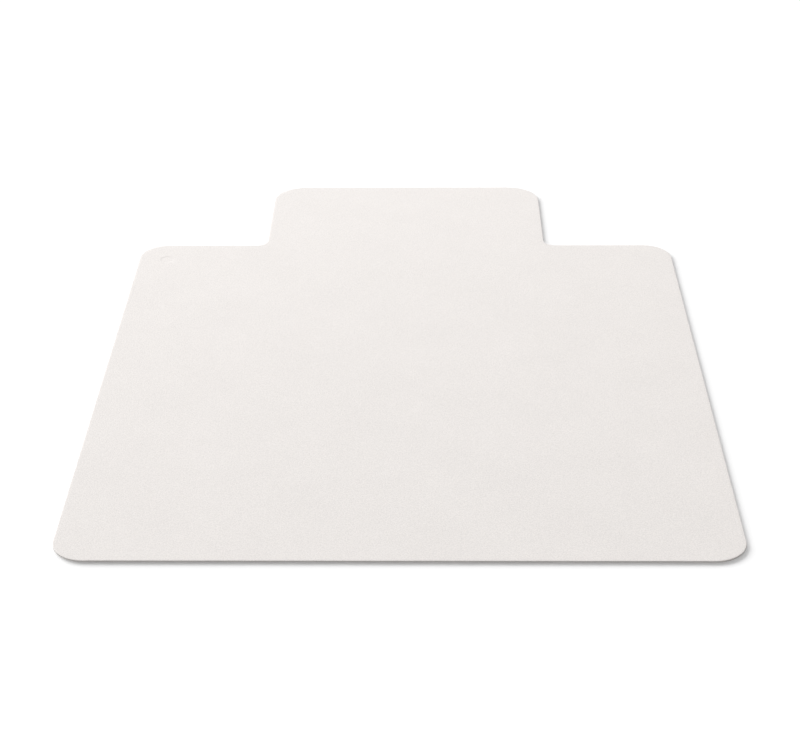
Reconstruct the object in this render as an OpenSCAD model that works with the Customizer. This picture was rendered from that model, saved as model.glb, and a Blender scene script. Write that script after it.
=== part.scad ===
// Chair mat with a lip, for carpet.
// One moulded vinyl sheet lies on short gripper studs that stand out of its underside. The chair rolls
// on the main panel, and the narrower lip runs under the desk, between its pedestals.
// +Z is up and +Y runs from the panel towards the lip. The origin is on the floor, under the centre of
// the rectangle that bounds the mat.

/* [Panel] */
// Width of the mat, across the panel
panel_w = 914.4; // [850:0.1:1200]
// Length of the mat, from the panel's free edge to the end of the lip
overall_l = 1219.2; // [1000:0.1:1550]
// Radius of the panel's outer corners
panel_corner_r = 47; // [20:0.1:60]

/* [Lip] */
// Width of the lip
lip_w = 482.6; // [400:0.1:600]
// Length of the lip beyond the panel
lip_l = 254; // [150:0.1:320]
// Radius of the two corners at the end of the lip
lip_corner_r = 56; // [20:0.1:70]
// Radius of the inner corners, where the lip leaves the panel
root_r = 19; // [6:0.5:40]

/* [Sheet] */
// Thickness of the sheet
sheet_t = 2.5; // [2:0.1:5]
// Width and height of the small bevel that breaks the sharp top edge
bevel = 0.4; // [0.2:0.1:1.2]

/* [Blank mark] */
// Diameter of the sunk disc near the panel's corner
mark_d = 24; // [15:1:40]
// Depth of the sunk disc
mark_depth = 0.2; // [0.1:0.1:0.6]
// Distance from the mat's side edge to the centre of the disc
mark_from_side = 48; // [40:1:120]
// Distance from the panel's edge beside the lip to the centre of the disc
mark_from_back = 56; // [40:1:120]

/* [Gripper studs] */
// Height of a stud, from the floor to the sheet
stud_h = 2.5; // [2:0.1:10]
// Diameter of a stud where it meets the sheet
stud_base_d = 4; // [3:0.1:7]
// Diameter of a stud's flat tip
stud_tip_d = 1.6; // [0.8:0.1:2.8]
// Distance between rows, and half of the distance between the studs in one row
stud_grid = 25.4; // [20:0.1:40]
// Distance from the mat's edge to the outermost studs
stud_margin = 25.4; // [25:0.1:40]

/* [Hidden] */

$fa = 3;
$fs = 0.4;
vinyl_color = [0.94, 0.93, 0.91];
stud_color = [0.84, 0.84, 0.83];
clear = 0.5; // how far a cutter runs past the surface that it cuts

panel_l = overall_l - lip_l;
front_y = -overall_l / 2;
root_y = front_y + panel_l;
back_y = overall_l / 2;
top_z = stud_h + sheet_t;

// Studs stand in staggered rows. Rows are numbered from the free edge, and columns from the centre line.
panel_rows = floor((panel_l - 2 * stud_margin) / stud_grid);
last_row = floor((overall_l - 2 * stud_margin) / stud_grid);
corner_rows = [0, panel_rows, last_row];

// Columns that fit on each side of the centre line of a sheet this wide
function columns(width) = floor((width / 2 - stud_margin) / stud_grid);

// Columns that fit on each side of the centre line in row j
function row_columns(j) = columns(j <= panel_rows ? panel_w : lip_w);

// The outermost column that has a stud in row j; every second column inwards from it has one too
function end_column(j) = row_columns(j) - (row_columns(j) + columns(panel_w) + j) % 2;

function is_corner(i, j) = abs(i) == end_column(j) && len(search(j, corner_rows)) > 0;

// A w by l rectangle with corners of radius r, centred on x = 0, from y = 0 to y = l
module rounded_rectangle(w, l, r) {
    translate([-w / 2, r])
        square([w, l - 2 * r]);
    translate([-w / 2 + r, 0])
        square([w - 2 * r, l]);
    for (x = [r - w / 2, w / 2 - r], y = [r, l - r])
        translate([x, y])
            circle(r);
}

// What fills the sharp inner corner on the +X side, where the lip leaves the panel
module root_fillet() {
    translate([lip_w / 2, root_y])
        difference() {
            translate([-clear, -clear])
                square(root_r + clear);
            translate([root_r, root_r])
                circle(root_r);
        }
}

module sheet_outline() {
    translate([0, front_y])
        rounded_rectangle(panel_w, panel_l, panel_corner_r);
    translate([0, front_y])
        rounded_rectangle(lip_w, overall_l, lip_corner_r);
    for (side = [0, 1])
        mirror([side, 0])
            root_fillet();
}

// Section of what the bevel takes away: x is the distance inwards from the edge, y is the height
module bevel_section() {
    polygon([
        [-clear, top_z - bevel - clear],
        [bevel + clear, top_z + clear],
        [-clear, top_z + clear]
    ]);
}

// Bevel along a straight edge that leaves start in the direction angle, with the sheet on its left
module bevel_edge(start, angle, length) {
    translate(start)
        rotate([90, 0, angle + 90])
            linear_extrude(length)
                bevel_section();
}

// Bevel around an outer corner of radius r
module bevel_outer_corner(centre, r, angle) {
    translate(centre)
        rotate([0, 0, angle])
            rotate_extrude(angle = 90)
                translate([r, 0])
                    mirror([1, 0])
                        bevel_section();
}

// Bevel around the inner corner at the lip's root
module bevel_inner_corner(centre, angle) {
    translate(centre)
        rotate([0, 0, angle])
            rotate_extrude(angle = 90)
                translate([root_r, 0])
                    bevel_section();
}

module bevel_half() {
    panel_x = panel_w / 2 - panel_corner_r;
    lip_x = lip_w / 2 - lip_corner_r;
    bevel_edge([panel_w / 2, front_y + panel_corner_r], 90, panel_l - 2 * panel_corner_r);
    bevel_edge([panel_x, root_y], 180, panel_x - lip_w / 2 - root_r);
    bevel_edge([lip_w / 2, root_y + root_r], 90, lip_l - lip_corner_r - root_r);
    bevel_outer_corner([panel_x, front_y + panel_corner_r], panel_corner_r, -90);
    bevel_outer_corner([panel_x, root_y - panel_corner_r], panel_corner_r, 0);
    bevel_outer_corner([lip_x, back_y - lip_corner_r], lip_corner_r, 0);
    bevel_inner_corner([lip_w / 2 + root_r, root_y + root_r], 180);
}

module bevel_all_round() {
    bevel_edge([panel_corner_r - panel_w / 2, front_y], 0, panel_w - 2 * panel_corner_r);
    bevel_edge([lip_w / 2 - lip_corner_r, back_y], 180, lip_w - 2 * lip_corner_r);
    for (side = [0, 1])
        mirror([side, 0, 0])
            bevel_half();
}

module mat_sheet() {
    color(vinyl_color)
        difference() {
            translate([0, 0, stud_h])
                linear_extrude(sheet_t)
                    sheet_outline();
            bevel_all_round();
            translate([mark_from_side - panel_w / 2, root_y - mark_from_back, top_z - mark_depth])
                cylinder(h = mark_depth + clear, d = mark_d);
        }
}

// The stud in column i of row j
module stud(i, j) {
    color(stud_color)
        translate([i * stud_grid, front_y + stud_margin + j * stud_grid, 0])
            cylinder(h = stud_h, d1 = stud_tip_d, d2 = stud_base_d, $fn = 24);
}

// All the studs in the rows from first to last, apart from those at the mat's outer corners
module stud_rows(first, last) {
    for (j = [first : last])
        for (i = [-end_column(j) : 2 : end_column(j)])
            if (!is_corner(i, j))
                stud(i, j);
}

// The studs nearest the outer corners, which the mat would stand on if it were stiff
module corner_studs() {
    for (j = corner_rows)
        for (side = [-1, 1])
            stud(side * end_column(j), j);
}

module panel_studs() {
    stud_rows(0, panel_rows);
}

module lip_studs() {
    stud_rows(panel_rows + 1, last_row);
}

mat_sheet();
corner_studs();
panel_studs();
lip_studs();
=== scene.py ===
import math

import bpy
from mathutils import Matrix, Vector
from mathutils.geometry import delaunay_2d_cdt


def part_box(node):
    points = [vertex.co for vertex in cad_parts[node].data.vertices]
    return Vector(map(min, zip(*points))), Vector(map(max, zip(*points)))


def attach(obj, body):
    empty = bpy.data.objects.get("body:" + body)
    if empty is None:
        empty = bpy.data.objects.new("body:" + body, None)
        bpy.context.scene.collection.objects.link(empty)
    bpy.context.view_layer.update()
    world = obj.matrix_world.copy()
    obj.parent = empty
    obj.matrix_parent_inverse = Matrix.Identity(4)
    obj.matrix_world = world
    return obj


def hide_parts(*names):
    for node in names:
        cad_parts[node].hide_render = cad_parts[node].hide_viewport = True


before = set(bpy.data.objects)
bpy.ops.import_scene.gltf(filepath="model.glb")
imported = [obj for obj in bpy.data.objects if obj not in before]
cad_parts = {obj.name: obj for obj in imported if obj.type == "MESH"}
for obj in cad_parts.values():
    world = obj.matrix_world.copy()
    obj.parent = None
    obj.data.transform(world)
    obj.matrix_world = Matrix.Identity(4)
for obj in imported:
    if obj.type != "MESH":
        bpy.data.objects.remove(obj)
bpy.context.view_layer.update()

MM = 0.001

# The sheet: its overall sizes come from the frame, the rest are the design's own
SHEET_LOW, SHEET_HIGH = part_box("mat_sheet")
LIP_WIDTH = 482.6 * MM
LIP_LENGTH = 254 * MM
PANEL_CORNER_RADIUS = 47 * MM
LIP_CORNER_RADIUS = 56 * MM
INNER_CORNER_RADIUS = 19 * MM
EDGE_BREAK = 0.4 * MM
BOTTOM_EDGE_ROUND = 0.3 * MM
TOP_EDGE_ROUND = 0.4 * MM
CENTRE_X = (SHEET_LOW.x + SHEET_HIGH.x) / 2
PANEL_WIDTH = SHEET_HIGH.x - SHEET_LOW.x
PANEL_BACK_Y = SHEET_HIGH.y - LIP_LENGTH

# The sheet's material slots
TOP, EDGE, UNDER = 0, 1, 2

# The blank disc sunk into the panel near its back left corner
DISC_RADIUS = 12 * MM
DISC_DEPTH = 0.2 * MM
DISC_FROM_SIDE = 48 * MM
DISC_FROM_BACK = 56 * MM
# Its soft wall: how far inside its rim, in mm, and which share of its depth
DISC_WALL = [(-1.5, 0), (0, 0), (0.25, 0.2), (0.55, 0.8), (0.8, 1), (2.3, 1)]

# The studs: each has a rounded tip, a waist, and above it a flare where it meets the sheet
STUD_GRID = 25.4 * MM
STUD_BASE_RADIUS = 2 * MM
STUD_TIP_RADIUS = 0.8 * MM
STUD_TIP_ROUND = 0.4 * MM
STUD_TIP_ZONE = 0.1 * MM
STUD_WAIST = 0.86 * STUD_BASE_RADIUS
STUD_WAIST_ROUND = 1 * MM
STUD_FLARE = 1.15 * STUD_BASE_RADIUS
STUD_FLARE_SHARE = 0.2

# How finely the surfaces are cut up
CORNER_STEPS = 20
INNER_CORNER_STEPS = 12
EDGE_STEPS = 4
DISC_STEPS = 48
STUD_SIDES = 14
STUD_STEPS = 3
MESH_PITCH = 14 * MM
RIM_WIDTH = 5 * MM
LEAST_GAP = 0.6 * MESH_PITCH
MERGE_DISTANCE = 1e-7

# The vinyl: its middle tint, its noises as scale, detail and roughness, and its sheen
VINYL_TINT = (0.738, 0.707, 0.686)
CLOUD_NOISE = (9.0, 3.0, 0.6)
PEBBLE_NOISE = (560.0, 2.0, 0.5)
# Share of the pebble in the tint: the pebble's pits get painted shade and its tips painted light
PEBBLE_SHADE_SHARE = 0.88
PIT_ROUGHNESS, TIP_ROUGHNESS = 0.62, 0.76
VINYL_IOR = 1.5
VINYL_SPECULAR = 0.1
LIGHT_THROUGH = (0.5, 0.5, 0.5, 1)
# Grain depths, and how far painted shade darkens the grain's pits and painted light brightens its tips
TOP_GRAIN, TOP_PIT_SHADE = 0.35 * MM, 0.24
PLAIN_GRAIN, PLAIN_PIT_SHADE = 0.02 * MM, 0.06
# Painted shade on the sheet's cut side: the vinyl's tint darkened as if the side stood in shadow
EDGE_PAINTED_SHADE = 0.68

# The studio; a lamp's direction is its azimuth from +Y towards -X and its elevation, in degrees
WHITE = (1, 1, 1, 1)
FLOOR_REACH = 30
FLOOR_COLOUR = (0.93, 0.93, 0.93, 1)
FILL_STRENGTH = 0.4
LAMP_ANGLE = math.radians(60)
SUN_DISTANCE = 3
LEFT_DIRECTION = (62, 22)
LEFT_ENERGY = 3.8
BACK_DIRECTION = (25, 23)
BACK_DISTANCE = 7.0
BACK_RADIANCE = 3.0
BACK_ON_FLOOR_ENERGY = 2.36

# The camera: millimetres for the lens, metres for its place, degrees for its angles
LENS = 85.0
SENSOR_WIDTH = 36
CAMERA_PLACE = (0.037, -2.636, 1.401)
CAMERA_PITCH = 28.94
CAMERA_YAW = 0.93
CAMERA_ROLL = -0.47


def rounded_path(corners, radii, steps):
    """An open path through corners, with each corner between its ends rounded to its radius."""
    path = [corners[0]]
    for before, here, after, radius in zip(corners, corners[1:], corners[2:], radii):
        to_before = (before - here).normalized()
        to_after = (after - here).normalized()
        half = to_before.angle(to_after) / 2
        centre = here + (to_before + to_after).normalized() * radius / math.sin(half)
        start = here + to_before * radius / math.tan(half) - centre
        end = here + to_after * radius / math.tan(half) - centre
        sweep = start.angle_signed(end)
        path += [centre + Matrix.Rotation(-sweep * k / steps, 2) @ start for k in range(steps + 1)]
    return path + [corners[-1]]


def outline(inset):
    """Points around the mat, anticlockwise from its front edge, moved inwards by inset.

    Every inset gives the same number of points, so that two outlines join face by face.
    """
    panel_x = PANEL_WIDTH / 2 - PANEL_CORNER_RADIUS
    inner_x = LIP_WIDTH / 2 + INNER_CORNER_RADIUS
    lip_x = LIP_WIDTH / 2 - LIP_CORNER_RADIUS
    panel_radius = PANEL_CORNER_RADIUS - inset
    inner_radius = INNER_CORNER_RADIUS + inset
    lip_radius = LIP_CORNER_RADIUS - inset
    # The corners on the right, from the front: centre, radius, first angle, turn and steps
    right = [
        ((panel_x, SHEET_LOW.y + PANEL_CORNER_RADIUS), panel_radius, -90, 90, CORNER_STEPS),
        ((panel_x, PANEL_BACK_Y - PANEL_CORNER_RADIUS), panel_radius, 0, 90, CORNER_STEPS),
        ((inner_x, PANEL_BACK_Y + INNER_CORNER_RADIUS), inner_radius, 270, -90, INNER_CORNER_STEPS),
        ((lip_x, SHEET_HIGH.y - LIP_CORNER_RADIUS), lip_radius, 0, 90, CORNER_STEPS),
    ]
    half = []
    for (x, y), radius, first, turn, steps in right:
        for k in range(steps + 1):
            angle = math.radians(first + turn * k / steps)
            half.append(Vector((x + radius * math.cos(angle), y + radius * math.sin(angle))))
    ends = half + [Vector((-p.x, p.y)) for p in reversed(half)]
    points = []
    for here, after in zip(ends, ends[1:] + ends[:1]):
        points.append(here)
        parts = round((after - here).length / MESH_PITCH)
        points += [here.lerp(after, k / parts) for k in range(1, parts)]
    return [Vector((p.x + CENTRE_X, p.y)) for p in points]


def circle(centre, radius, count):
    """Points around a circle, anticlockwise."""
    angles = [2 * math.pi * k / count for k in range(count)]
    return [centre + Vector((math.cos(a), math.sin(a))) * radius for a in angles]


class Mesh:
    """Vertices and faces as they are collected, and then the Blender object made of them."""

    def __init__(self):
        self.vertices, self.faces, self.slots = [], [], []

    def ring(self, points, z):
        """Adds a vertex at height z over each point, and gives their numbers."""
        first = len(self.vertices)
        self.vertices += [(p.x, p.y, z) for p in points]
        return list(range(first, len(self.vertices)))

    def face(self, corners, slot=0):
        """Adds a face with these vertices, in a material slot."""
        self.faces.append(corners)
        self.slots.append(slot)

    def band(self, lower, upper, slot=0):
        """Faces between two rings; they face outwards where lower runs anticlockwise below upper."""
        for k in range(len(lower)):
            after = (k + 1) % len(lower)
            self.face((lower[k], lower[after], upper[after], upper[k]), slot)

    def fill(self, z, loops, up, slot=0):
        """A flat, evenly triangulated face at height z, inside the first loop and outside the others."""
        ids = [i for loop in loops for i in loop]
        flat = [Vector(self.vertices[i][:2]) for i in ids]
        inner = [p for p in grid_points() if clear_of(p, flat)]
        numbers = iter(range(len(ids)))
        bounds = [[next(numbers) for _ in loop] for loop in loops]
        coords, _, triangles, sources, _, owners = delaunay_2d_cdt(
            flat + inner, [], bounds, 0, MERGE_DISTANCE, True
        )
        vertices = []
        for point, source in zip(coords, sources):
            if source and source[0] < len(ids):
                vertices.append(ids[source[0]])
            else:
                vertices.append(len(self.vertices))
                self.vertices.append((point.x, point.y, z))
        for (a, b, c), owner in zip(triangles, owners):
            # Each triangle's owners are the loops around it; the first loop alone is the sheet
            if list(owner) == [0]:
                order = (a, b, c) if up else (a, c, b)
                self.face(tuple(vertices[i] for i in order), slot)

    def made(self, name, materials):
        """The smooth-shaded object, linked to the scene."""
        mesh = bpy.data.meshes.new(name)
        mesh.from_pydata(self.vertices, [], self.faces)
        for material in materials:
            mesh.materials.append(material)
        mesh.polygons.foreach_set("material_index", self.slots)
        mesh.polygons.foreach_set("use_smooth", [True] * len(self.faces))
        mesh.validate()
        piece = bpy.data.objects.new(name, mesh)
        bpy.context.scene.collection.objects.link(piece)
        return piece


def grid_points():
    """A triangular grid of points over the mat's whole rectangle."""
    rise = MESH_PITCH * math.sqrt(3) / 2
    rows = int((SHEET_HIGH.y - SHEET_LOW.y) / rise)
    columns = int(PANEL_WIDTH / MESH_PITCH)
    return [
        Vector((SHEET_LOW.x + (i + 0.5 * (j % 2)) * MESH_PITCH, SHEET_LOW.y + j * rise))
        for j in range(rows + 1)
        for i in range(columns + 1)
    ]


def clear_of(point, loop_points):
    """True if the point is well inside the mat and not close to a loop's points."""
    in_panel = abs(point.x - CENTRE_X) < PANEL_WIDTH / 2 - RIM_WIDTH and point.y < PANEL_BACK_Y - RIM_WIDTH
    in_lip = abs(point.x - CENTRE_X) < LIP_WIDTH / 2 - RIM_WIDTH
    return (in_panel or in_lip) and min((point - p).length for p in loop_points) > LEAST_GAP


def node(tree, kind, **values):
    """A new shader node, with values set on its inputs where it has one of that name."""
    made = tree.nodes.new(kind)
    for name, value in values.items():
        if name in made.inputs:
            made.inputs[name].default_value = value
        else:
            setattr(made, name, value)
    return made


def vinyl(name, grain_height, pit_shade_contrast, shade=1.0):
    """Frosted off-white vinyl with a pebble grain, grain_height metres deep.

    The tint follows the grain: painted shade darkens its pits and painted light brightens its tips, each
    by up to the given share of the middle tint.
    A faint cloud of random tone is mixed in. The last argument darkens the whole tint, as painted shade
    for a shaded copy of the vinyl.
    Rays towards a lamp pass partly through, so the floor under the sheet is lit as the real one is.
    """
    material = bpy.data.materials.new(name)
    material.use_nodes = True
    tree = material.node_tree
    shader = tree.nodes["Principled BSDF"]
    place = node(tree, "ShaderNodeTexCoord").outputs["Object"]

    cloud, pebble = [
        node(tree, "ShaderNodeTexNoise", Scale=scale, Detail=detail, Roughness=roughness)
        for scale, detail, roughness in (CLOUD_NOISE, PEBBLE_NOISE)
    ]
    tree.links.new(place, cloud.inputs["Vector"])
    tree.links.new(place, pebble.inputs["Vector"])

    both = node(tree, "ShaderNodeMix", Factor=PEBBLE_SHADE_SHARE)
    tree.links.new(cloud.outputs["Fac"], both.inputs["A"])
    tree.links.new(pebble.outputs["Fac"], both.inputs["B"])
    # The tint follows the grain: painted shade in its pits and painted light on its tips, with a faint
    # cloud of random tone
    tint = node(tree, "ShaderNodeValToRGB")
    for stop, side in zip(tint.color_ramp.elements, (-1, 1)):
        stop.color = [part * shade * (1 + side * pit_shade_contrast) for part in VINYL_TINT] + [1]
    tree.links.new(both.outputs["Result"], tint.inputs["Fac"])
    tree.links.new(tint.outputs["Color"], shader.inputs["Base Color"])

    bump = node(tree, "ShaderNodeBump", Strength=1.0, Distance=grain_height)
    tree.links.new(pebble.outputs["Fac"], bump.inputs["Height"])
    tree.links.new(bump.outputs["Normal"], shader.inputs["Normal"])

    gloss = node(tree, "ShaderNodeMapRange")
    gloss.inputs["To Min"].default_value = PIT_ROUGHNESS
    gloss.inputs["To Max"].default_value = TIP_ROUGHNESS
    tree.links.new(pebble.outputs["Fac"], gloss.inputs["Value"])
    tree.links.new(gloss.outputs["Result"], shader.inputs["Roughness"])
    shader.inputs["IOR"].default_value = VINYL_IOR
    shader.inputs["Specular IOR Level"].default_value = VINYL_SPECULAR

    through = node(tree, "ShaderNodeBsdfTransparent", Color=LIGHT_THROUGH)
    mix = node(tree, "ShaderNodeMixShader")
    tree.links.new(node(tree, "ShaderNodeLightPath").outputs["Is Shadow Ray"], mix.inputs[0])
    tree.links.new(shader.outputs[0], mix.inputs[1])
    tree.links.new(through.outputs[0], mix.inputs[2])
    tree.links.new(mix.outputs[0], tree.nodes["Material Output"].inputs["Surface"])
    return material


def make_sheet(top_vinyl, shaded_edge_vinyl, plain_vinyl):
    """The whole sheet: panel and lip in one, its top edge broken all round, and the sunk disc."""
    under, top = SHEET_LOW.z, SHEET_HIGH.z
    corners = [
        Vector((RIM_WIDTH, under)),
        Vector((0, under)),
        Vector((0, top - EDGE_BREAK)),
        Vector((EDGE_BREAK, top)),
        Vector((RIM_WIDTH, top)),
    ]
    profile = rounded_path(corners, (BOTTOM_EDGE_ROUND, TOP_EDGE_ROUND, TOP_EDGE_ROUND), EDGE_STEPS)
    mesh = Mesh()
    rings = [mesh.ring(outline(point.x), point.y) for point in profile]
    for point, lower, upper in zip(profile, rings, rings[1:]):
        # The cut side takes the vinyl darkened by painted shade
        mesh.band(lower, upper, TOP if point.y > top - EDGE_BREAK else EDGE)
    centre = Vector((SHEET_LOW.x + DISC_FROM_SIDE, PANEL_BACK_Y - DISC_FROM_BACK))
    wall = []
    for inset, share in DISC_WALL:
        points = circle(centre, DISC_RADIUS - inset * MM, DISC_STEPS)
        wall.append(mesh.ring(points, top - share * DISC_DEPTH))
    for outer, inner in zip(wall, wall[1:]):
        mesh.band(outer, inner)
    mesh.face(wall[-1])
    mesh.fill(top, [rings[-1], wall[0]], True, TOP)
    mesh.fill(under, [rings[0]], False, UNDER)
    return mesh.made("moulded_sheet", [top_vinyl, shaded_edge_vinyl, plain_vinyl])


def stud_centres(name):
    """Where the studs of a CAD node stand, from the vertices of their tips."""
    tips = {}
    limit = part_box(name)[0].z + STUD_TIP_ZONE
    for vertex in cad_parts[name].data.vertices:
        if vertex.co.z < limit:
            key = (round(vertex.co.x / STUD_GRID), round(vertex.co.y / STUD_GRID))
            tips.setdefault(key, []).append(vertex.co.xy)
    return [sum(points, Vector((0, 0))) / len(points) for _, points in sorted(tips.items())]


def make_studs(name, piece_name, material):
    """The studs of a CAD node, each with a rounded tip and a small flare where it meets the sheet."""
    low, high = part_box(name)
    flare_height = STUD_FLARE_SHARE * (high.z - low.z)
    corners = [
        Vector((0, low.z)),
        Vector((STUD_TIP_RADIUS, low.z)),
        Vector((STUD_WAIST, high.z - flare_height)),
        Vector((STUD_FLARE, high.z)),
    ]
    profile = rounded_path(corners, (STUD_TIP_ROUND, STUD_WAIST_ROUND), STUD_STEPS)
    mesh = Mesh()
    for centre in stud_centres(name):
        rings = [mesh.ring(circle(centre, point.x, STUD_SIDES), point.y) for point in profile[1:]]
        for lower, upper in zip(rings, rings[1:]):
            mesh.band(lower, upper)
        mesh.face(rings[0][::-1])
        mesh.face(rings[-1])
    piece = mesh.made(piece_name, [material])
    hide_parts(name)
    return piece


def make_floor():
    """A matt white floor at height 0."""
    mesh = bpy.data.meshes.new("floor")
    corners = [(x * FLOOR_REACH, y * FLOOR_REACH, 0) for x, y in ((-1, -1), (1, -1), (1, 1), (-1, 1))]
    mesh.from_pydata(corners, [], [(0, 1, 2, 3)])
    floor = bpy.data.objects.new("floor", mesh)
    bpy.context.scene.collection.objects.link(floor)
    material = bpy.data.materials.new("floor_white")
    material.use_nodes = True
    shader = material.node_tree.nodes["Principled BSDF"]
    shader.inputs["Base Color"].default_value = FLOOR_COLOUR
    shader.inputs["Roughness"].default_value = 1.0
    shader.inputs["Specular IOR Level"].default_value = 0.0
    mesh.materials.append(material)
    return floor


def add_lamp(name, kind, angles, distance, lit=None, **values):
    """A lamp that shines on the mat's centre from one direction, and lights lit or everything."""
    azimuth, elevation = [math.radians(angle) for angle in angles]
    level = math.cos(elevation)
    towards = Vector((-math.sin(azimuth) * level, math.cos(azimuth) * level, math.sin(elevation)))
    lamp = bpy.data.lights.new(name, kind)
    for setting, value in values.items():
        setattr(lamp, setting, value)
    holder = bpy.data.objects.new(name, lamp)
    bpy.context.scene.collection.objects.link(holder)
    holder.location = towards * distance
    holder.rotation_euler = (-towards).to_track_quat("-Z", "Y").to_euler()
    holder.visible_camera = False
    if lit:
        receivers = bpy.data.collections.new("lit_by_" + name)
        for thing in lit:
            receivers.objects.link(thing)
        holder.light_linking.receiver_collection = receivers


def make_lights(floor, pieces):
    """White surroundings and two soft lamps behind the mat, at its left and nearly straight behind it.

    The second is near enough for its light to fade over the mat from back to front. For the floor a
    distant lamp in the same direction stands in for it, so the floor is evenly white out to the horizon.
    """
    # The camera sees the surroundings brighter than they light the scene
    world = bpy.data.worlds.new("studio")
    bpy.context.scene.world = world
    world.use_nodes = True
    tree = world.node_tree
    seen = tree.nodes["Background"]
    seen.inputs["Color"].default_value = WHITE
    fill = node(tree, "ShaderNodeBackground", Color=WHITE, Strength=FILL_STRENGTH)
    mix = node(tree, "ShaderNodeMixShader")
    tree.links.new(node(tree, "ShaderNodeLightPath").outputs["Is Camera Ray"], mix.inputs[0])
    tree.links.new(fill.outputs[0], mix.inputs[1])
    tree.links.new(seen.outputs[0], mix.inputs[2])
    tree.links.new(mix.outputs[0], tree.nodes["World Output"].inputs["Surface"])

    size = 2 * BACK_DISTANCE * math.tan(LAMP_ANGLE / 2)
    disc_area = math.pi * (size / 2) ** 2
    add_lamp("left", "SUN", LEFT_DIRECTION, SUN_DISTANCE, energy=LEFT_ENERGY, angle=LAMP_ANGLE)
    add_lamp(
        "back", "AREA", BACK_DIRECTION, BACK_DISTANCE, lit=pieces,
        shape="DISK", size=size, energy=BACK_RADIANCE * math.pi * disc_area,
    )
    add_lamp(
        "back_of_floor", "SUN", BACK_DIRECTION, SUN_DISTANCE, lit=[floor],
        energy=BACK_ON_FLOOR_ENERGY, angle=LAMP_ANGLE,
    )


def make_camera():
    """The camera, where the photo's straight edges say that it stood."""
    lens = bpy.data.cameras.new("camera")
    lens.lens = LENS
    lens.sensor_width = SENSOR_WIDTH
    camera = bpy.data.objects.new("camera", lens)
    bpy.context.scene.collection.objects.link(camera)
    camera.matrix_world = (
        Matrix.Translation(CAMERA_PLACE)
        @ Matrix.Rotation(math.radians(CAMERA_YAW), 4, "Z")
        @ Matrix.Rotation(math.pi / 2 - math.radians(CAMERA_PITCH), 4, "X")
        @ Matrix.Rotation(math.radians(CAMERA_ROLL), 4, "Z")
    )
    bpy.context.scene.camera = camera


make_camera()
floor = make_floor()
top_vinyl = vinyl("vinyl_top", TOP_GRAIN, TOP_PIT_SHADE)
# The cut side's vinyl: the same tint darkened by painted shade
shaded_edge_vinyl = vinyl("vinyl_edge_painted_shade", PLAIN_GRAIN, PLAIN_PIT_SHADE, shade=EDGE_PAINTED_SHADE)
plain_vinyl = vinyl("vinyl_plain", PLAIN_GRAIN, PLAIN_PIT_SHADE)
pieces = [
    make_sheet(top_vinyl, shaded_edge_vinyl, plain_vinyl),
    make_studs("corner_studs", "moulded_corner_studs", plain_vinyl),
    make_studs("panel_studs", "moulded_panel_studs", plain_vinyl),
    make_studs("lip_studs", "moulded_lip_studs", plain_vinyl),
]
make_lights(floor, pieces)
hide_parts("mat_sheet")
for piece in pieces:
    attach(piece, "root")

bpy.context.scene.view_settings.view_transform = "Standard"
